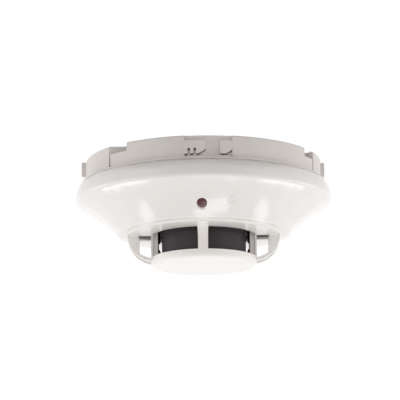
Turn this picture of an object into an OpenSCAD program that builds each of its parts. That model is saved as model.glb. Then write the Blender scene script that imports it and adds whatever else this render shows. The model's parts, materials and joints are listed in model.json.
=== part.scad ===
// Plug-in smoke and heat detector head on its ceiling base.
// Origin: centre of the face that lies on the ceiling. +Z points up into the ceiling,
// so the whole object hangs below z = 0. The indicator and the base's keying blocks
// face the front, -Y. Azimuths run from the front (-Y) towards +X.

/* [Base] */
// Radius of the base's ring wall
base_r = 64.8; // [64.5:0.1:65.2]
// Thickness of the ring wall
wall_t = 2.4; // [2.2:0.1:2.5]
// Depth of the ring wall below the ceiling
base_h = 12; // [11.8:0.1:12.2]
// Radius of the cable entry
entry_r = 16; // [12:0.5:18]
// Width of the screw slots
slot_w = 4.6; // [4:0.1:5.2]
// Distance between the wide pair of screw slots
wide_pitch = 86; // [84:0.5:88]
// Distance between the narrow pair of screw slots
narrow_pitch = 65; // [63:0.5:67]
// End-to-end length of a screw slot
slot_l = 10; // [8:0.5:12]

/* [Head] */
// Largest radius of the head's skirt
skirt_r = 70; // [69.5:0.5:71]
// Wall thickness of the head cover
cover_t = 2.2; // [1.8:0.1:2.4]
// Radius where the flare turns in to the flat underside
flare_end_r = 47.6; // [46.5:0.1:48.5]
// Slope of the flare below the skirt, in degrees
flare_slope_top = 30.5; // [29.5:0.5:32]
// Slope of the flare at its lower end, in degrees
flare_slope_end = 45.5; // [44:0.5:47]
// Radius of the flat plate round the sensing cage
plate_r = 42.2; // [41.5:0.1:43]

/* [Cage] */
// Outer radius of the cage and of its cap
cage_r = 29; // [28.5:0.1:29.5]
// Width of the front and rear posts
post_w = 5.4; // [4:0.1:8]
// Height of the smoke entry windows
window_h = 12.2; // [11.8:0.1:12.4]
// Height of the cap
cap_h = 4.3; // [4.1:0.1:4.5]

/* [Thermistor guards] */
// Radius of a guard's curved edge
guard_r = 14.6; // [14:0.1:15]
// Thickness of each guard plate
guard_t = 3.2; // [2.5:0.1:3.6]
// Gap between the two plates of a guard
guard_gap = 6.2; // [5.6:0.1:7]
// Width of a guard's opening
guard_hole_w = 6.7; // [5:0.1:7]

/* [Bayonet] */
// Turn that frees the head from the base, in degrees
twist = 18; // [17:0.5:18.5]
// Width of a locking lug, in degrees
lug_arc = 15; // [12:0.5:15]

/* [Terminals] */
// Radius at which the terminal screws stand
screw_ring_r = 33; // [32:0.5:33.5]
// Shank radius of a terminal screw
screw_r = 1.75; // [1.5:0.05:1.9]
// Largest opening of a wire clamp
clamp_travel = 1.8; // [1:0.1:1.8]

/* [Hidden] */
$fn = 96;

// Colours
base_grey = [0.80, 0.78, 0.75];
cover_white = [0.93, 0.92, 0.90];
black = [0.12, 0.12, 0.13];
brass = [0.80, 0.65, 0.35];
steel = [0.72, 0.73, 0.75];

// Base heights
base_in_r = base_r - wall_t;
plate_top = -1.4;
plate_bot = -3.4;
flange_r = base_r + 2.2;
flange_bot = -base_h - 1.2;
land_r = 37;
entry_wall_t = 2;
entry_bot = -6;
shelf_t = 1.6;
shelf_top = -10;
shelf_in_r = 59.2;

// Notches in the ring wall: [first azimuth, last azimuth, azimuth of the slit beside it]
notches = [[-50.5, -38.5, -50], [57, 66.5, 66]];
// Pockets inside the notches: [first x, last x, y of the upright end wall]
pockets = [[-50, -39.5, -41.4], [53, 59.4, -23.4]];
notch_depth = 4.5;
slit_w = 1.1;
end_wall_t = 1.4;
end_wall_bot = -7;
top_bevel = 0.5;
// Side keys
key_azimuths = [93, -87];
key_r = base_r + 2.2;
key_w = 4.5;
key_h = 7.2;

// Front panel with its keying blocks
panel_x = [-9.6, 15.2];
panel_bot = -11.4;
panel_floor_r = 63.5;
block_r = base_r + 0.35;
block_top = -2.7;
block_bot = -9.9;
block_cut = -7.6;
comb_x = [-9.9, 1.4];
comb_slots = [-8.0, -4.9];
comb_slot_w = 1.3;
comb_slot_top = -6.9;
stop_x = [8.9, 15.5];
chamfer_w = 3.4;
core_h = 0.5;
// Height of the opening at the top of each comb slot
slot_core_h = core_h + 0.3;

// Bayonet: the lugs stand above the shelves
lug_azimuths = [20, 140, 260];
lug_r = base_in_r - 0.4;
lug_bot = shelf_top + 0.3;
lug_top = lug_bot + 1.5;
shelf_before = lug_arc / 2 + 1;
shelf_after = lug_arc / 2 + 2;
stop_gap = 0.5;

// Terminals
terminal_azimuths = [45, 135, 225, 315];
leaf_t = 0.8;
leaf_w = 8;
leaf_top = plate_bot;
leaf_bot = leaf_top - leaf_t;
jaw_top = -6.6;
jaw_in_r = 43.5;
leaf_in_r = 28;
leaf_out_r = 52;
clamp_w = 8;
clamp_t = 1;
screw_head_r = 3.2;
screw_head_h = 2.2;
screw_top = -1;
screw_bore_r = screw_r + 0.05;

// Contact blades of the head
blade_in_r = 40.4;
blade_out_r = 50;
blade_top = -5;
blade_t = 0.8;
blade_w = 6;
blade_gap = 0.15;

// Tamper lever
lever_pivot = [-13, -58.5, -5.9];
lever_w = 3;
lever_t = 1.4;
lever_tip_x = 12;
lever_eye_r = 1.9;
lever_pin_r = 1;
lever_hook_bot = -7.8;
lever_hook_l = 2.5;
running_gap = 0.05;
ear_t = 1.4;

// Shorting spring
spring_pivot = [-16, 50, -5.2];
spring_w = 4;
spring_t = 0.4;
spring_tip_x = 15;
spring_eye_r = 1.4;
spring_pin_r = 0.8;
cam_x = 13.2;
cam_w = 3;
cam_top = -6.2;
pad_x = [4.5, 8.5];
pad_top = -6.9;
pad_t = 0.6;

// Head cover outline
rim_z = -13.5;
rim_r = 68.3;
skirt_mid_z = -20.5;
skirt_rise = rim_z - 0.4 - skirt_mid_z;
skirt_arc_r = (skirt_rise * skirt_rise + pow(skirt_r - rim_r, 2)) / (2 * (skirt_r - rim_r));
edge_r = 2.4;
edge_z = skirt_mid_z - 0.6;
normal_top = flare_slope_top - 90;
normal_end = flare_slope_end - 90;
flare_start = [skirt_r - edge_r, edge_z] + edge_r * dir(normal_top);
flare_arc_r = (flare_start.x - flare_end_r) / (cos(normal_end) - cos(normal_top));
flare_centre = flare_start + flare_arc_r * dir(normal_top);
flare_end = flare_centre - flare_arc_r * dir(normal_end);
lip_r = 1.6;
lip_centre = flare_end - lip_r * dir(normal_end);
under_z = -40.4;
plate_z = -41.1;
plate_t = 1.9;
ledge_top = plate_z + plate_t;
cage_fit = 0.03;
cage_flange_r = plate_r + 1.7;
cage_flange_t = 1;
opening_r = 28.4;
arc_steps = 12;

// Cage
cap_z = plate_z - window_h;
bottom_z = cap_z - cap_h;
cap_wall = 1.8;
cap_round = 2.2;
cap_edge = 0.4;
post_in_r = cage_r - 2;
post_turn = -0.9;
post_top = plate_z + 1.6;
sweep_angle = 50;
sweep_z = -48.3;
sweep_r = (plate_z + 0.2 - sweep_z) / sin(sweep_angle);
guard_centre = [27, plate_z];
guard_in_x = 25.1;
guard_hole_x = 28.8;
// Inner bar of a guard plate, set back from the plate's face
bar_x = 27.7;
bar_setback = 0.6;
root_bevel = 0.8;
guard_hole_r = guard_r - 1.6;
rear_web = 1.2;
slot_step = 1.4;

// Indicator and the dimple beside it
led_pos = [-0.8, -53.4];
led_r = 2.5;
led_hole_r = 2.7;
led_rim_r = 2.95;
dimple_azimuth = 15.5;
dimple_ring_r = 55.4;

// Back shell
shell_r = 58.6;
shell_t = 1.8;
shell_deck_top = -10.4;
shell_deck_t = 1.4;
shell_flange_r = 65.4;
shell_flange_top = -14.3;
shell_flange_t = 2;
screw_azimuths = [70, 190, 310];
housing_screw_ring_r = 61.2;
housing_screw_r = 1.2;
housing_head_r = 2.2;
post_azimuths = [0, 120, 240];
board_post_ring_r = 42;

// Circuit board
board_r = 54;
board_top = -19.5;
board_bot = board_top - 1.6;

// Optical chamber
chamber_r = 21.5;
chamber_flange_r = 31;
chamber_bot = -41.2;
cavity_r = 13;
cavity_top = -33;
diode_z = -36.5;
diode_r = 2.5;
emitter_azimuth = 150;
sensor_azimuth = -90;
labyrinth_r = 22.6;
floor_top = -51.9;
floor_t = 1.6;
vanes = 24;
screen_r = 23.1;
screen_t = 0.3;
screen_top = -39.3;
thermistor_x = 24.8;
bead_z = -50.1;
sleeve_r = 0.9;
sleeve_bot = -45;

// Unit vector at an angle
function dir(a) = [cos(a), sin(a)];
// Points on an arc from angle a0 to a1
function arc(centre, r, a0, a1, steps = arc_steps) =
    [for (i = [0:steps]) centre + r * dir(a0 + (a1 - a0) * i / steps)];

// Turns its children from the front to an azimuth
module at_azimuth(a) {
    rotate([0, 0, a]) children();
}

// Upright tube between two heights
module tube(r_out, r_in, z_low, z_high) {
    rotate_extrude() translate([r_in, z_low]) square([r_out - r_in, z_high - z_low]);
}

// Sector of a tube between two azimuths
module sector(r_out, r_in, z_low, z_high, from, to) {
    rotate([0, 0, from - 90]) rotate_extrude(angle = to - from)
        translate([r_in, z_low]) square([r_out - r_in, z_high - z_low]);
}

// Disc or rod standing on the Z axis between two heights
module disc(r, z_low, z_high) {
    translate([0, 0, z_low]) cylinder(r = r, h = z_high - z_low);
}

// Block between two opposite corners
module block(low, high) {
    translate(low) cube(high - low);
}

// Rod along Y, centred on a point
module rod_y(centre, r, length) {
    translate(centre) rotate([90, 0, 0]) cylinder(r = r, h = length, center = true);
}

// Slot with round ends, its length along X
module slot(length, width) {
    for (s = [-1, 1]) translate([s * (length - width) / 2, 0, -5]) cylinder(d = width, h = 10);
    translate([-(length - width) / 2, -width / 2, -5]) cube([length - width, width, 10]);
}

// ---- Base ----

module ring_wall() {
    difference() {
        rotate_extrude() polygon([[base_in_r, -base_h], [base_r, -base_h],
            [base_r, -top_bevel], [base_r - top_bevel, 0], [base_in_r, 0]]);
        // recessed front panel, open at the ceiling
        intersection() {
            tube(base_r + 2, panel_floor_r, panel_bot, 1);
            block([panel_x[0], -base_r - 2, panel_bot], [panel_x[1], -50, 1]);
        }
    }
    rotate_extrude() polygon([[base_in_r + 0.2, flange_bot], [flange_r - 0.4, flange_bot],
        [flange_r, flange_bot + 0.4], [flange_r, -base_h + 0.01], [base_in_r + 0.2, -base_h + 0.01]]);
    for (a = key_azimuths) at_azimuth(a)
        block([-key_w / 2, -key_r, -key_h], [key_w / 2, -base_r + 0.8, 0]);
}

// Outline of a keying block: its lower right corner is cut off
module block_outline(x0, x1) {
    polygon([[x0, block_top], [x0, block_bot], [x1 - chamfer_w, block_bot],
        [x1, block_cut], [x1, block_top]]);
}

module front_blocks() {
    intersection() {
        tube(block_r, panel_floor_r - 0.6, block_bot - 1, block_top + 1);
        translate([0, -50, 0]) rotate([90, 0, 0]) linear_extrude(20) difference() {
            union() {
                block_outline(comb_x[0], comb_x[1]);
                block_outline(stop_x[0], stop_x[1]);
            }
            for (x = comb_slots) translate([x, block_bot - 1])
                square([comb_slot_w, comb_slot_top - block_bot + 1]);
        }
    }
}

// Upright end walls of the pockets
module end_walls() {
    intersection() {
        disc(base_r - 0.5, -20, 1);
        for (p = pockets)
            block([p[0] - 1, p[2] - 0.05, end_wall_bot], [p[1] + 1, p[2] + end_wall_t, -0.1]);
    }
}

// Everything cut away at the notches: the wall, the pocket behind it and the slit beside it
module notch_cuts() {
    for (n = notches) {
        sector(base_r + 3, base_in_r - 0.6, -notch_depth, 1, n[0], n[1]);
        at_azimuth(n[2])
            block([-slit_w / 2, -base_r - 1, 0.2 - base_h], [slit_w / 2, 2 - base_in_r, 1]);
    }
    intersection() {
        disc(base_in_r + 0.1, -notch_depth, 1);
        for (p = pockets) block([p[0], p[2] - 15, -20], [p[1], p[2], 2]);
    }
}

// Openings left by the mould's cores along the lower edges of the blocks and of the comb's slots
module core_openings() {
    translate([0, 2 - base_in_r, 0]) rotate([90, 0, 0]) linear_extrude(6) {
        difference() {
            for (x = [comb_x, stop_x]) polygon([[x[0] + 0.4, block_bot + 0.05],
                [x[1] - chamfer_w, block_bot + 0.05], [x[1] - 0.1, block_cut + 0.05],
                [x[1] - 0.1, block_cut - core_h], [x[1] - chamfer_w, block_bot - core_h],
                [x[0] + 0.4, block_bot - core_h]]);
            for (x = comb_slots) translate([x - 0.2, block_bot - 2])
                square([comb_slot_w + 0.4, 4]);
        }
        for (x = comb_slots) translate([x, comb_slot_top - slot_core_h])
            square([comb_slot_w, slot_core_h]);
    }
}

module base_plate() {
    disc(base_in_r + 0.5, plate_bot, plate_top);
    disc(land_r, plate_top - 0.5, 0);
    disc(entry_r + entry_wall_t, entry_bot, plate_bot + 0.5);
    for (a = [15:30:345]) at_azimuth(a)
        block([-0.8, -base_in_r - 1, plate_top - 0.3], [0.8, 1 - land_r, 0]);
    for (s = [-1, 1]) {
        translate([s * wide_pitch / 2, 0, 0]) disc(8.5, plate_top - 0.4, 0);
        translate([0, s * narrow_pitch / 2, 0]) disc(6.8, plate_top - 0.4, 0);
    }
}

module bayonet_shelves() {
    for (a = lug_azimuths) {
        sector(base_in_r + 0.4, shelf_in_r, shelf_top - shelf_t, shelf_top,
            a - shelf_before, a + shelf_after);
        sector(base_in_r + 0.4, shelf_in_r + 0.2, shelf_top - shelf_t - 0.2, lug_top + 0.4,
            a + lug_arc / 2 + stop_gap, a + shelf_after + 0.7);
    }
}

// Two ears that hold a pivot pin along Y
module ears(pivot, arm_w, arm_gap) {
    for (s = [-1, 1]) {
        y = pivot.y + s * (arm_w / 2 + arm_gap + ear_t / 2);
        block([pivot.x - 1.8, y - ear_t / 2, pivot.z - 1.8],
            [pivot.x + 1.8, y + ear_t / 2, plate_bot + 0.4]);
    }
}

module mounting_base() {
    color(base_grey) {
        for (a = [0, 180]) at_azimuth(a) end_walls();
        difference() {
            union() {
                ring_wall();
                front_blocks();
                base_plate();
                bayonet_shelves();
                ears(lever_pivot, lever_w, 0.2);
                ears(spring_pivot, spring_w, 0.3);
                // holder of the shorting contact
                block([pad_x[0] - 0.5, 53, pad_top - pad_t - 0.4],
                    [pad_x[1] + 0.5, 55.8, plate_bot + 0.4]);
            }
            disc(entry_r, -10, 1);
            for (s = [-1, 1]) {
                translate([s * wide_pitch / 2, 0, 0]) slot(slot_l, slot_w);
                translate([0, s * narrow_pitch / 2, 0]) rotate([0, 0, 90]) slot(slot_l, slot_w);
            }
            for (a = [0, 180]) at_azimuth(a) notch_cuts();
            core_openings();
            for (a = terminal_azimuths) at_azimuth(a)
                translate([0, -screw_ring_r, 0]) disc(screw_r + 0.35, -4, screw_top + 0.4);
            rod_y(lever_pivot, lever_pin_r, 9);
            rod_y(spring_pivot, spring_pin_r, 10);
            // seat of the shorting contact
            block([pad_x[0], 52, pad_top - pad_t], [pad_x[1], 55, pad_top]);
        }
    }
}

// Spring-brass terminal: flat under the screw, folded back to a jaw for the blade
module contact_plate(n) {
    color(brass) at_azimuth(terminal_azimuths[n]) difference() {
        union() {
            block([-leaf_w / 2, -leaf_out_r, leaf_bot], [leaf_w / 2, -leaf_in_r, leaf_top]);
            block([-leaf_w / 2, -leaf_out_r, jaw_top - leaf_t],
                [leaf_w / 2, leaf_t - leaf_out_r, leaf_top]);
            block([-leaf_w / 2, -leaf_out_r, jaw_top - leaf_t], [leaf_w / 2, -jaw_in_r, jaw_top]);
        }
        translate([0, -screw_ring_r, 0]) disc(screw_bore_r, -5, -3);
    }
}

module wire_clamp(n) {
    color(steel) at_azimuth(terminal_azimuths[n]) translate([0, -screw_ring_r, 0]) difference() {
        union() {
            block([-clamp_w / 2, -clamp_w / 2, leaf_bot - clamp_t], [clamp_w / 2, clamp_w / 2, leaf_bot]);
            // turned-down edges that keep the wire under the clamp
            for (s = [-1, 1]) translate([s * (clamp_w / 2 - 0.4), 0, leaf_bot - 1.2])
                cube([0.8, clamp_w, 1.4], center = true);
        }
        disc(screw_r + 0.1, -8, 0);
    }
}

module terminal_screw(n) {
    head_top = leaf_bot - clamp_t;
    color(steel) at_azimuth(terminal_azimuths[n]) translate([0, -screw_ring_r, 0]) difference() {
        union() {
            disc(screw_r, head_top - 0.2, screw_top);
            disc(screw_head_r, head_top - screw_head_h, head_top);
        }
        for (a = [0, 90]) rotate([0, 0, a])
            translate([0, 0, head_top - screw_head_h]) cube([4.6, 0.9, 2], center = true);
    }
}

module tamper_lever() {
    arm_z = lever_pivot.z - lever_t / 2;
    color(base_grey) difference() {
        union() {
            rod_y(lever_pivot, lever_eye_r, lever_w);
            block([lever_pivot.x, lever_pivot.y - lever_w / 2, arm_z],
                [lever_tip_x, lever_pivot.y + lever_w / 2, arm_z + lever_t]);
            block([lever_tip_x - lever_hook_l, lever_pivot.y - lever_w / 2, lever_hook_bot],
                [lever_tip_x, lever_pivot.y + lever_w / 2, arm_z + 0.2]);
        }
        rod_y(lever_pivot, lever_pin_r + running_gap, 10);
    }
}

module lever_pin() {
    color(steel) rod_y(lever_pivot, lever_pin_r, lever_w + 2 * ear_t + 0.4);
}

module shorting_spring() {
    color(brass) difference() {
        union() {
            rod_y(spring_pivot, spring_eye_r, spring_w);
            block([spring_pivot.x, spring_pivot.y - spring_w / 2, spring_pivot.z - spring_t / 2],
                [spring_tip_x, spring_pivot.y + spring_w / 2, spring_pivot.z + spring_t / 2]);
        }
        rod_y(spring_pivot, spring_pin_r + running_gap, 10);
    }
}

module spring_pin() {
    color(steel) rod_y(spring_pivot, spring_pin_r, spring_w + 2 * ear_t + 0.6);
}

module shorting_contact() {
    color(brass) block([pad_x[0], spring_pivot.y - spring_w / 2, pad_top - pad_t],
        [pad_x[1], 55, pad_top]);
}

// ---- Head ----

// Points along the flare from the skirt to the underside, at a depth t below its surface
function flare_points(t) = [for (i = [0:arc_steps]) flare_centre - (flare_arc_r + t)
    * dir(normal_top + (normal_end - normal_top) * i / arc_steps)];

// Points down the skirt, at a depth t below its surface
function skirt_points(t, a0) = arc([skirt_r - skirt_arc_r, skirt_mid_z], skirt_arc_r - t, a0, 0, 8);

function reversed(list) = [for (i = [len(list) - 1:-1:0]) list[i]];

// Everything inside the flare at a depth t below its surface
module flare_core(t) {
    rotate_extrude() polygon(concat(
        [[0, skirt_mid_z], [skirt_r - 3, skirt_mid_z]], flare_points(t), [[0, flare_end.y]]));
}

// Thin layer that follows the flare, from depth t0 to depth t1 below its surface
module flare_layer(t0, t1) {
    rotate_extrude() polygon(concat(flare_points(t0), reversed(flare_points(t1))));
}

module cover_shell() {
    rim_angle = asin(skirt_rise / skirt_arc_r);
    rotate_extrude() polygon(concat(
        [[rim_r - 0.7, rim_z]],
        skirt_points(0, rim_angle - 3),
        arc([skirt_r - edge_r, edge_z], edge_r, 0, normal_top + 8, 6),
        flare_points(0),
        arc(lip_centre, lip_r, normal_end - 8, -88, 5),
        [[plate_r, under_z], [plate_r, ledge_top], [cage_flange_r + 0.2, ledge_top],
            [cage_flange_r + 0.2, ledge_top + 0.9]],
        reversed(flare_points(cover_t)),
        reversed(skirt_points(cover_t, rim_angle)),
        [[rim_r - cover_t, rim_z]]));
}

// Flat underside round the cage, held by a flange that lies on the cover's ledge
module cage_plate() {
    rotate_extrude() polygon([[opening_r, plate_z], [plate_r - 0.55, plate_z],
        [plate_r - cage_fit, under_z], [plate_r - cage_fit, ledge_top],
        [cage_flange_r, ledge_top], [cage_flange_r, ledge_top + cage_flange_t],
        [plate_r - 2.5, ledge_top + cage_flange_t], [plate_r - 3.5, ledge_top],
        [opening_r, ledge_top]]);
}

module cap() {
    rotate_extrude() polygon(concat(
        [[cage_r - cap_wall, cap_z]],
        arc([cage_r - cap_edge, cap_z - cap_edge], cap_edge, 90, 0, 3),
        arc([cage_r - cap_round, bottom_z + cap_round], cap_round, 0, -90, 8),
        [[0, bottom_z], [0, bottom_z + 2], [cage_r - cap_wall - 0.8, bottom_z + 2],
            [cage_r - cap_wall, bottom_z + 2.8]]));
}

// Post between the windows: its outer face sweeps out into the underside
module post() {
    half_arc = asin(post_w / 2 / cage_r);
    rotate([0, 0, -half_arc - 90]) rotate_extrude(angle = 2 * half_arc) polygon(concat(
        [[post_in_r, cap_z - 0.6], [cage_r, cap_z - 0.6]],
        arc([cage_r + sweep_r, sweep_z], sweep_r, 180, 180 - sweep_angle, 6),
        [[cage_r + 1, plate_z + 0.8], [cage_r, post_top], [post_in_r, post_top]]));
}

// Rear guard plate: quarter-round outline with a D-shaped opening below a web
module guard_plate(web) {
    y_in = guard_gap / 2;
    y_out = y_in + guard_t;
    difference() {
        translate([0, y_out, 0]) rotate([90, 0, 0]) linear_extrude(guard_t) difference() {
            intersection() {
                translate(guard_centre) circle(r = guard_r);
                translate([guard_in_x, bottom_z]) square([20, plate_z + 0.3 - bottom_z]);
            }
            intersection() {
                translate(guard_centre) circle(r = guard_hole_r);
                translate([guard_hole_x, bottom_z])
                    square([guard_hole_w, plate_z - web - bottom_z]);
            }
        }
        block([0, y_out - bar_setback, bottom_z - 1], [bar_x, y_out + 1, plate_z + 1]);
    }
    // the inner bar runs on through the opening of the underside
    block([guard_in_x, y_in, plate_z - 1], [guard_hole_x - 0.2, y_out - bar_setback, post_top]);
    // bevel at the root of the outer face
    translate([guard_hole_x + guard_hole_w + 0.1, y_out, plate_z]) rotate([90, 0, 90])
        linear_extrude(5) polygon([[-0.3, 0.3], [-0.3, -root_bevel - 0.3], [root_bevel + 0.3, 0.3]]);
}

// The front plate's opening reaches up to the underside
module guard() {
    guard_plate(rear_web);
    mirror([0, 1, 0]) guard_plate(-1);
}

module cover_bosses() {
    for (a = screw_azimuths) at_azimuth(a) translate([0, -housing_screw_ring_r, 0])
        disc(2.8, skirt_mid_z - 0.5, shell_flange_top - shell_flange_t - 0.1);
    intersection() {
        flare_core(1);
        for (a = screw_azimuths) at_azimuth(a) translate([0, -housing_screw_ring_r, 0])
            disc(2.8, -32, skirt_mid_z - 0.2);
    }
}

module head_cover() {
    color(cover_white) difference() {
        union() {
            cover_shell();
            cover_bosses();
            // raised ring beside the indicator
            intersection() {
                flare_layer(-0.22, 0.5);
                at_azimuth(dimple_azimuth) translate([0, -dimple_ring_r, 0]) tube(2.1, 1.45, -36, -28);
            }
        }
        translate([led_pos.x, led_pos.y, 0]) disc(led_hole_r, -40, -28);
        intersection() {
            flare_layer(-0.5, 0.25);
            translate([led_pos.x, led_pos.y, 0]) disc(led_rim_r, -40, -28);
        }
        for (a = screw_azimuths) at_azimuth(a) translate([0, -housing_screw_ring_r, 0])
            disc(housing_screw_r, -24, -10);
    }
}

module sensor_cage() {
    color(cover_white) difference() {
        union() {
            cage_plate();
            cap();
            for (a = [0, 180]) at_azimuth(a + post_turn) post();
            guard();
            mirror([1, 0, 0]) guard();
        }
        // air slots between the guard plates, stepped back over the rear plate
        for (s = [-1, 1]) {
            translate([s * 30.5, 0, plate_z]) cube([12, guard_gap, 6], center = true);
            translate([s * 32.7, guard_gap / 2 + slot_step / 2 - 0.1, plate_z + 2])
                cube([7.6, slot_step + 0.2, 4], center = true);
        }
    }
}

module back_shell() {
    color(cover_white) difference() {
        union() {
            disc(shell_r - 0.5, shell_deck_top - shell_deck_t, shell_deck_top);
            tube(shell_r, shell_r - shell_t, shell_flange_top - shell_flange_t, lug_top + 0.15);
            tube(shell_flange_r, shell_r - 1, shell_flange_top - shell_flange_t, shell_flange_top);
            for (a = lug_azimuths)
                sector(lug_r, shell_r - 0.5, lug_bot, lug_top, a - lug_arc / 2, a + lug_arc / 2);
            for (a = post_azimuths) at_azimuth(a) translate([0, -board_post_ring_r, 0])
                disc(3, board_top, shell_deck_top - 0.5);
            for (a = [0:60:300]) at_azimuth(a + 15)
                block([-0.6, 1 - shell_r, shell_deck_top - 0.5], [0.6, -26, shell_deck_top + 0.9]);
            tube(26.8, 25.4, shell_deck_top - 0.5, shell_deck_top + 0.9);
            // cam that holds the shorting spring open
            block([cam_x - cam_w / 2, spring_pivot.y - 1.5, shell_deck_top - 0.5],
                [cam_x + cam_w / 2, spring_pivot.y + 1.5, cam_top]);
        }
        for (a = terminal_azimuths) at_azimuth(a)
            block([-blade_w / 2 - blade_gap, -blade_in_r - blade_t - blade_gap, -14],
                [blade_w / 2 + blade_gap, blade_gap - blade_in_r, -8]);
        for (a = post_azimuths) at_azimuth(a) translate([0, -board_post_ring_r, 0])
            disc(1.1, board_top - 1, -13);
        for (a = screw_azimuths) at_azimuth(a) translate([0, -housing_screw_ring_r, 0]) {
            disc(housing_screw_r + 0.2, -20, -10);
            disc(housing_head_r + 0.2, shell_flange_top - 1.2, -12);
        }
    }
}

// Head terminal: foot on the board, riser through the back shell, tongue for the jaw
module contact_blade(n) {
    color(brass) at_azimuth(terminal_azimuths[n]) {
        block([-blade_w / 2, -blade_in_r - blade_t, board_top], [blade_w / 2, -blade_in_r, blade_top]);
        block([-blade_w / 2, -blade_out_r, blade_top - blade_t], [blade_w / 2, -blade_in_r, blade_top]);
        block([-blade_w / 2, -blade_in_r - 0.1, board_top],
            [blade_w / 2, 4 - blade_in_r, board_top + blade_t]);
    }
}

// Pan-head screw with its head up, its top at z = 0
module small_screw(r, head_r, head_h, length) {
    difference() {
        union() {
            disc(head_r, -head_h, 0);
            disc(r, -length, -head_h + 0.1);
        }
        for (a = [0, 90]) rotate([0, 0, a]) cube([head_r * 1.3, 0.5, 1], center = true);
    }
}

module housing_screws() {
    color(steel) for (a = screw_azimuths) at_azimuth(a)
        translate([0, -housing_screw_ring_r, shell_flange_top - 0.1])
            small_screw(housing_screw_r - 0.05, housing_head_r, 1.1, 8);
}

module circuit_board() {
    color([0.10, 0.35, 0.18]) difference() {
        disc(board_r, board_bot, board_top);
        for (a = post_azimuths) at_azimuth(a) translate([0, -board_post_ring_r, 0])
            disc(1.3, -30, -10);
    }
}

module board_screws() {
    color(steel) for (a = post_azimuths) at_azimuth(a)
        translate([0, -board_post_ring_r, board_bot - 1.2]) mirror([0, 0, 1])
            small_screw(1.05, 2, 1.2, 6);
}

module status_led() {
    // the lens ends just below the flare's surface
    color([0.45, 0.08, 0.10]) intersection() {
        flare_core(0.5);
        translate([led_pos.x, led_pos.y, 0]) disc(led_r, -40, -25);
    }
    color([0.45, 0.08, 0.10]) translate([led_pos.x, led_pos.y, 0]) {
        disc(2.9, -26, -25);
        for (s = [-1, 1]) translate([s * 1.27, 0, 0]) disc(0.25, -25.2, board_bot);
    }
}

module led_holder() {
    color(black) translate([led_pos.x, led_pos.y, 0]) difference() {
        disc(2.9, -24.9, board_bot);
        for (s = [-1, 1]) translate([s * 1.27, 0, 0]) disc(0.45, -26, -20);
    }
}

module capacitors() {
    color([0.15, 0.17, 0.35]) for (p = [[31, -22], [36, -12]])
        translate([p.x, p.y, 0]) disc(4, board_bot - 8, board_bot);
}

module microcontroller() {
    color(black) block([-40, 10, board_bot - 1.4], [-32, 18, board_bot]);
    color(steel) for (i = [0:6], s = [-1, 1])
        translate([-39 + i, 14 + s * 4.4, board_bot - 0.35]) cube([0.4, 1, 0.7], center = true);
}

module reed_switch() {
    color([0.75, 0.85, 0.80]) translate([8, 38, board_bot - 1.4]) rotate([0, 90, 0])
        cylinder(r = 1.2, h = 14);
    color(steel) for (x = [5, 22]) translate([x, 38, board_bot - 1.4])
        rotate([0, 90, 0]) cylinder(r = 0.3, h = 3);
}

module surge_diodes() {
    color(black) for (y = [-30, -35]) translate([-25, y, board_bot - 1.3])
        rotate([0, 90, 0]) cylinder(r = 1.3, h = 5.2);
}

module inductors() {
    color([0.20, 0.20, 0.20]) for (p = [[-33, -22], [-40, -12]])
        translate([p.x, p.y, 0]) {
            disc(3.4, board_bot - 4, board_bot - 3.2);
            disc(2, board_bot - 3.3, board_bot - 0.7);
            disc(3.4, board_bot - 0.8, board_bot);
        }
}

module resistors() {
    color(black) for (a = [40:8:120]) at_azimuth(a)
        translate([0, -47, board_bot - 0.3]) cube([2, 1.2, 0.6], center = true);
}

module shield_can() {
    color(steel) difference() {
        block([-41, -5, board_bot - 5], [-27, 7, board_bot]);
        block([-40.6, -4.6, board_bot - 4.6], [-27.4, 6.6, board_bot + 1]);
    }
}

// Rod along a level line through the chamber's axis, from radius r0 to r1
module level_rod(azimuth, r, r0, r1) {
    at_azimuth(azimuth) translate([0, -r0, diode_z]) rotate([90, 0, 0]) cylinder(r = r, h = r1 - r0);
}

module chamber_base() {
    color(black) difference() {
        union() {
            disc(chamber_r, chamber_bot, board_bot - 0.1);
            disc(chamber_flange_r, ledge_top + 0.1, -37.8);
        }
        for (s = [-1, 1]) translate([s * thermistor_x, 0, 0]) disc(sleeve_r + 0.1, -40, -37);
        disc(cavity_r, chamber_bot - 1, cavity_top);
        for (a = [emitter_azimuth, sensor_azimuth]) level_rod(a, diode_r + 0.1, 8, 30);
    }
}

// Floor ring with overlapping bent vanes that let smoke in and keep light out
module labyrinth() {
    color(black) {
        disc(labyrinth_r, floor_top - floor_t, floor_top);
        for (i = [0:vanes - 1]) at_azimuth(i * 360 / vanes) {
            translate([0, -19, floor_top - 0.3]) rotate([0, 0, 40])
                cube([1, 5, chamber_bot - floor_top + 0.2]);
            translate([0, -19, floor_top - 0.3]) rotate([0, 0, 130])
                cube([1, 3, chamber_bot - floor_top + 0.2]);
        }
    }
}

module chamber_cover() {
    color(black) difference() {
        disc(24, bottom_z + 2.1, floor_top - floor_t - 0.1);
        disc(16, bottom_z + 1, bottom_z + 2.6);
    }
}

module insect_screen() {
    color([0.22, 0.22, 0.24]) {
        tube(screen_r, screen_r - screen_t, floor_top - floor_t, screen_top);
        tube(screen_r + 0.3, screen_r - 0.2, floor_top - floor_t, floor_top - 0.4);
        tube(screen_r + 0.3, screen_r - 0.2, screen_top - 1, screen_top);
    }
}

// Five-millimetre optical package pointing at the chamber's axis
module optical_package(azimuth) {
    level_rod(azimuth, diode_r, cavity_r - 1, 20.6);
    at_azimuth(azimuth) translate([0, 1 - cavity_r, diode_z]) sphere(r = diode_r - 0.01);
}

module ir_emitter() {
    color([0.25, 0.22, 0.35]) optical_package(emitter_azimuth);
}

module photodiode() {
    color([0.15, 0.10, 0.15]) optical_package(sensor_azimuth);
}

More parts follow.
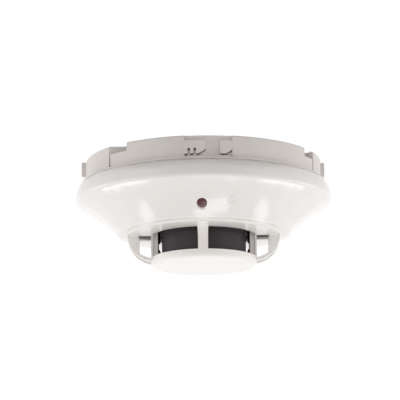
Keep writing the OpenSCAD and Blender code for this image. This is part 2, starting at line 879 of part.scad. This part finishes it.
// Bead on two lead wires
module thermistor(side) {
    translate([side * thermistor_x, 0, 0]) {
        color([0.30, 0.17, 0.12]) {
            translate([0, 0, bead_z]) sphere(r = 1.2);
            disc(0.85, bead_z, bead_z + 1.6);
        }
        color(steel) for (s = [-1, 1]) translate([0, s * 0.4, 0]) disc(0.2, bead_z + 1, board_bot);
    }
}

module thermistor_left() {
    thermistor(-1);
}

module thermistor_right() {
    thermistor(1);
}

module thermistor_sleeves() {
    color(black) for (s = [-1, 1]) translate([s * thermistor_x, 0, 0]) difference() {
        disc(sleeve_r, sleeve_bot, board_bot - 0.2);
        disc(0.65, sleeve_bot - 1, 0);
    }
}

mounting_base();
for (n = [0:3]) {
    contact_plate(n);
    wire_clamp(n);
    terminal_screw(n);
    contact_blade(n);
}
tamper_lever();
lever_pin();
shorting_spring();
spring_pin();
shorting_contact();
head_cover();
sensor_cage();
back_shell();
housing_screws();
circuit_board();
board_screws();
status_led();
led_holder();
capacitors();
microcontroller();
reed_switch();
surge_diodes();
inductors();
resistors();
shield_can();
chamber_base();
labyrinth();
chamber_cover();
insect_screen();
ir_emitter();
photodiode();
thermistor_left();
thermistor_right();
thermistor_sleeves();
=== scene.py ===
import json
import math
import bmesh
import bpy
from mathutils import Matrix, Vector


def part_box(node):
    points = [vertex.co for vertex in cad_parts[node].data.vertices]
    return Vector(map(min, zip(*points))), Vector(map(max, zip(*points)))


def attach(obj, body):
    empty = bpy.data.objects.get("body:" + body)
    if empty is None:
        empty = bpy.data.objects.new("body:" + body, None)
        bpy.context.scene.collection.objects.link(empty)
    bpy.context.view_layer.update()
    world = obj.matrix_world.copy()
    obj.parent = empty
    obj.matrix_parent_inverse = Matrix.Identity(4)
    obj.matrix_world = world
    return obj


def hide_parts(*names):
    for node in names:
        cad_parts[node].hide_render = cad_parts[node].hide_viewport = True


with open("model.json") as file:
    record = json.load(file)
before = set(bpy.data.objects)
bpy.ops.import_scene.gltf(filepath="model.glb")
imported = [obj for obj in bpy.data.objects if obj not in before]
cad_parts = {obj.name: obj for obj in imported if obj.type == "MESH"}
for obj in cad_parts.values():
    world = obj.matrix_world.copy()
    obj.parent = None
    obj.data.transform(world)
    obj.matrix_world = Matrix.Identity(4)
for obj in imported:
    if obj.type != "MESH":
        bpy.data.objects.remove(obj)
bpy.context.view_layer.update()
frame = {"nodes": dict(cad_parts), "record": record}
MM = 0.001


# ---------------------------------------------------------------- materials

UNEVEN_SCALE = 35           # patches of slightly different colour and gloss to a metre
UNEVEN_STOPS = (0.3, 0.7)   # shares of the noise that get the darkest and the lightest colour
BUMP_HEIGHT = 0.1 * MM      # full height of the grain
EDGE_SAMPLES = 6
MATT = 0.9                  # roughness of the set


def noise(nt, co, scale, detail):
    """Noise in the piece's own coordinates."""
    n = nt.nodes.new("ShaderNodeTexNoise")
    n.inputs["Scale"].default_value = scale
    n.inputs["Detail"].default_value = detail
    nt.links.new(co.outputs["Object"], n.inputs["Vector"])
    return n


def add_grain(nt, b, co, strength, scale, soft):
    """Fine bumps, on edges softened over a radius in mm if soft is above 0."""
    bump = nt.nodes.new("ShaderNodeBump")
    bump.inputs["Strength"].default_value = strength
    bump.inputs["Distance"].default_value = BUMP_HEIGHT
    nt.links.new(noise(nt, co, scale, 3).outputs["Fac"], bump.inputs["Height"])
    nt.links.new(bump.outputs["Normal"], b.inputs["Normal"])
    if soft > 0:
        edge = nt.nodes.new("ShaderNodeBevel")
        edge.samples = EDGE_SAMPLES
        edge.inputs["Radius"].default_value = soft * MM
        nt.links.new(edge.outputs["Normal"], bump.inputs["Normal"])


def add_unevenness(nt, b, co, colour, tint, rough, spread):
    """Soft patches that vary the colour by a share of tint and the roughness by spread."""
    patches = noise(nt, co, UNEVEN_SCALE, 4)
    ramp = nt.nodes.new("ShaderNodeValToRGB")
    for stop, place, lift in zip(ramp.color_ramp.elements, UNEVEN_STOPS, (1 - tint, 1 + tint)):
        stop.position = place
        stop.color = (*(min(1, c * lift) for c in colour), 1)
    nt.links.new(patches.outputs["Fac"], ramp.inputs["Fac"])
    nt.links.new(ramp.outputs["Color"], b.inputs["Base Color"])
    gloss = nt.nodes.new("ShaderNodeMapRange")
    gloss.inputs["To Min"].default_value = rough - spread
    gloss.inputs["To Max"].default_value = rough + spread
    nt.links.new(patches.outputs["Fac"], gloss.inputs["Value"])
    nt.links.new(gloss.outputs["Result"], b.inputs["Roughness"])


def plastic(name, colour, rough=0.35, grain=0.0, grain_scale=900.0, spec=0.5, soft=0.0, spread=0.0,
            tint=0.03):
    """Moulded plastic with a fine grain and a slight unevenness of colour and gloss."""
    m = bpy.data.materials.new(name)
    m.use_nodes = True
    nt = m.node_tree
    b = nt.nodes["Principled BSDF"]
    b.inputs["Base Color"].default_value = (*colour, 1)
    b.inputs["Roughness"].default_value = rough
    b.inputs["Specular IOR Level"].default_value = spec
    co = nt.nodes.new("ShaderNodeTexCoord")
    if grain > 0:
        add_grain(nt, b, co, grain, grain_scale, soft)
    if spread > 0:
        add_unevenness(nt, b, co, colour, tint, rough, spread)
    return m


def metal(name, colour, rough):
    m = plastic(name, colour, rough, spread=0.05, tint=0.06)
    m.node_tree.nodes["Principled BSDF"].inputs["Metallic"].default_value = 1
    return m


MATS = {
    "base_plastic": plastic("base_plastic", (0.78, 0.74, 0.71), 0.45, 0.12, 1400, soft=0.25,
                            spread=0.04),
    "cover_plastic": plastic("cover_plastic", (0.87, 0.845, 0.825), 0.1, 0.03, 700, spec=0.9,
                             spread=0.02, tint=0.012),
    "contact_brass": metal("contact_brass", (0.72, 0.55, 0.28), 0.28),
    "zinc_steel": metal("zinc_steel", (0.62, 0.63, 0.65), 0.3),
    "tinned_steel": metal("tinned_steel", (0.70, 0.71, 0.72), 0.2),
    "board": plastic("board", (0.02, 0.12, 0.05), 0.3, spread=0.05),
    "led_lens": plastic("led_lens", (0.085, 0.009, 0.012), 0.08, spread=0.02),
    "black_plastic": plastic("black_plastic", (0.012, 0.012, 0.013), 0.6, 0.1, 1200, spec=0.08,
                             spread=0.05),
    "component_black": plastic("component_black", (0.02, 0.02, 0.02), 0.4, spread=0.05),
    "sleeve_plastic": plastic("sleeve_plastic", (0.03, 0.04, 0.14), 0.25, spread=0.05),
    "screen_black": plastic("screen_black", (0.095, 0.083, 0.089), 0.45, spec=0.3, spread=0.05),
    "ir_lens": plastic("ir_lens", (0.02, 0.008, 0.02), 0.1, spread=0.03),
    "bead": plastic("bead", (0.10, 0.035, 0.018), 0.3, spread=0.05),
    "glass_clear": plastic("glass_clear", (0.55, 0.60, 0.57), 0.08, spread=0.02),
}

# the cage is the cover's plastic with a duller skin and edges softened by its mould; its colour is
# painted lighter than the cover's, painted light for the light its faces under the cover don't get
OWN = {
    "sensor_cage": plastic("cage_plastic_painted_light", (0.91, 0.885, 0.86), 0.16, 0.03, 700, spec=0.5, soft=0.3,
                           spread=0.02, tint=0.012),
}

for row in frame["record"]["subparts"]:
    o = frame["nodes"][row["node"]]
    o.data.materials.clear()
    o.data.materials.append(OWN.get(row["node"], MATS[row["material_slot"]]))


# ---------------------------------------------------------------- insect screen

MESH_PITCH = 0.52 * MM      # distance between wires, both ways
HALF_WIRE = 0.11 * MM
MESH_INSET = 0.45 * MM      # from the CAD screen's outside to the middle of the wires
BAND_INSET = 0.16 * MM      # from the middle of the wires to the inside of the bands
LOW_BAND_H = 1.2 * MM
HIGH_BAND_H = 1.0 * MM
IN_BAND = 0.3 * MM          # how far the uprights stop short of the bands' outer edges
FIRST_RING = 1.4 * MM       # height of the first ring above the bottom
NO_RINGS_H = 2 * MM         # height kept free of rings, both ends together
RING_STEPS = 96
# corners of a wire's square section, in order round it
WIRE_CORNERS = [(x * HALF_WIRE, y * HALF_WIRE) for x, y in ((-1, -1), (1, -1), (1, 1), (-1, 1))]


def sweep_ring(bm, section):
    """Closed ring whose section is a list of four (radius, z) points."""
    loops = []
    for i in range(RING_STEPS):
        a = 2 * math.pi * i / RING_STEPS
        loops.append([bm.verts.new((r * math.cos(a), r * math.sin(a), z)) for r, z in section])
    for i in range(RING_STEPS):
        a, b = loops[i], loops[(i + 1) % RING_STEPS]
        for k in range(4):
            bm.faces.new((a[k], b[k], b[(k + 1) % 4], a[(k + 1) % 4]))


def wire_ring(bm, radius, z):
    sweep_ring(bm, [(radius + dr, z + dz) for dr, dz in WIRE_CORNERS])


def band(bm, r_in, r_out, z_low, z_high):
    sweep_ring(bm, [(r_in, z_low), (r_out, z_low), (r_out, z_high), (r_in, z_high)])


def upright(bm, radius, angle, z_low, z_high):
    """Closed upright wire of square section."""
    c, s = math.cos(angle), math.sin(angle)
    low, high = [[bm.verts.new(((radius + dr) * c - dt * s, (radius + dr) * s + dt * c, z))
                  for dr, dt in WIRE_CORNERS] for z in (z_low, z_high)]
    bm.faces.new(list(reversed(low)))
    bm.faces.new(high)
    for k in range(4):
        bm.faces.new((low[k], low[(k + 1) % 4], high[(k + 1) % 4], high[k]))


def insect_screen():
    """Drum of crossed wires between two bands, on the CAD screen's own circle."""
    low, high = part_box("insect_screen")
    rim = high.x
    r = rim - MESH_INSET
    bm = bmesh.new()
    count = round(2 * math.pi * r / MESH_PITCH)
    for i in range(count):
        upright(bm, r, 2 * math.pi * (i + 0.5) / count, low.z + IN_BAND, high.z - IN_BAND)
    for k in range(int((high.z - low.z - NO_RINGS_H) / MESH_PITCH)):
        wire_ring(bm, r, low.z + FIRST_RING + k * MESH_PITCH)
    band(bm, r - BAND_INSET, rim, low.z, low.z + LOW_BAND_H)
    band(bm, r - BAND_INSET, rim, high.z - HIGH_BAND_H, high.z)
    bmesh.ops.recalc_face_normals(bm, faces=bm.faces)
    mesh = bpy.data.meshes.new("screen_weave")
    bm.to_mesh(mesh)
    bm.free()
    mesh.materials.append(MATS["screen_black"])
    o = bpy.data.objects.new("screen_weave", mesh)
    bpy.context.scene.collection.objects.link(o)
    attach(o, "head")
    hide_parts("insect_screen")


insect_screen()

# ---------------------------------------------------------------- set

MIDDLE = Vector((0, 0, -30 * MM))      # the point that the lights face
CARD_Y = -1.3


def panel(name, points, colour, in_view=True):
    """Flat matt surface of the set. One out of view still takes light from the detector."""
    mesh = bpy.data.meshes.new(name)
    mesh.from_pydata(points, [], [(0, 1, 2, 3)])
    mesh.materials.append(plastic(name + "_paint", colour, MATT))
    o = bpy.data.objects.new(name, mesh)
    bpy.context.scene.collection.objects.link(o)
    o.visible_camera = in_view


def level(half_w, y_front, y_back, z):
    """Corners of a level panel."""
    return [(-half_w, y_front, z), (half_w, y_front, z), (half_w, y_back, z), (-half_w, y_back, z)]


def softbox(name, direction, width, height, radiance, distance=1.0):
    """Area light of a given radiance that stands in a direction from the detector and faces it."""
    centre = MIDDLE + Vector(direction).normalized() * distance
    light = bpy.data.lights.new(name, "AREA")
    light.shape = "RECTANGLE"
    light.size, light.size_y = width, height
    light.energy = radiance * math.pi * width * height
    o = bpy.data.objects.new(name, light)
    o.location = centre
    o.rotation_euler = (MIDDLE - centre).to_track_quat("-Z", "Y").to_euler()
    o.visible_camera = False
    bpy.context.scene.collection.objects.link(o)


panel("floor", level(6, -6, 6, -1.2), (0.84, 0.83, 0.82))
# a greyer card behind the camera takes light from the faces that look at it
panel("card", [(-1, CARD_Y, -0.75), (1, CARD_Y, -0.75), (1, CARD_Y, 0.95), (-1, CARD_Y, 0.95)],
      (0.64, 0.62, 0.605), in_view=False)
# a dark lid above stands for the ceiling's shade
panel("lid", level(0.9, -0.9, 0.5, 0.8), (0.12, 0.11, 0.10), in_view=False)

world = bpy.data.worlds.new("world")
bpy.context.scene.world = world
world.use_nodes = True
world.node_tree.nodes["Background"].inputs["Color"].default_value = (1, 1, 1, 1)
world.node_tree.nodes["Background"].inputs["Strength"].default_value = 1.0

# name, direction, width and height in metres, radiance
softbox("under", (0, 0, -1), 2.2, 2.2, 0.07, 1.1)
softbox("patch_left", (-0.60, 0.19, -0.78), 0.17, 0.18, 1.5)
softbox("patch_middle", (0.09, -0.17, -0.98), 0.42, 0.17, 1.9)
softbox("patch_right", (0.60, 0.20, -0.77), 0.17, 0.22, 1.5)
softbox("behind", (0.03, 0.33, -1.0), 0.4, 0.17, 1.9)
for side in (-1, 1):
    softbox("behind_near", (side * 0.41, 0.49, -1.0), 0.17, 0.17, 1.8)
    softbox("behind_far", (side * 0.53, 0.69, -1.0), 0.18, 0.2, 1.8)
    softbox("behind_end", (side * 0.62, 0.88, -1.0), 0.15, 0.2, 1.8)
    softbox("side", (side * 0.95, 0.12, -0.3), 0.9, 0.3, 1.4)

scene = bpy.context.scene
scene.view_settings.view_transform = "Standard"
scene.view_settings.look = "None"

# ---------------------------------------------------------------- camera

ELEVATION = math.radians(12.1)      # the camera looks up at the detector by this angle
ROLL = math.radians(-0.6)
DISTANCE = 1.1
TARGET = Vector((0, 0, -28.5 * MM))

back = Vector((0, -math.cos(ELEVATION), -math.sin(ELEVATION)))
cam_data = bpy.data.cameras.new("camera")
cam_data.sensor_width = 36
cam_data.lens = 179.8
cam_data.shift_x = -0.009
cam_data.shift_y = 0.0355
cam = bpy.data.objects.new("camera", cam_data)
turn = (-back).to_track_quat("-Z", "Y").to_matrix().to_4x4()
cam.matrix_world = Matrix.Translation(TARGET + back * DISTANCE) @ turn @ Matrix.Rotation(ROLL, 4, "Z")
scene.collection.objects.link(cam)
scene.camera = cam
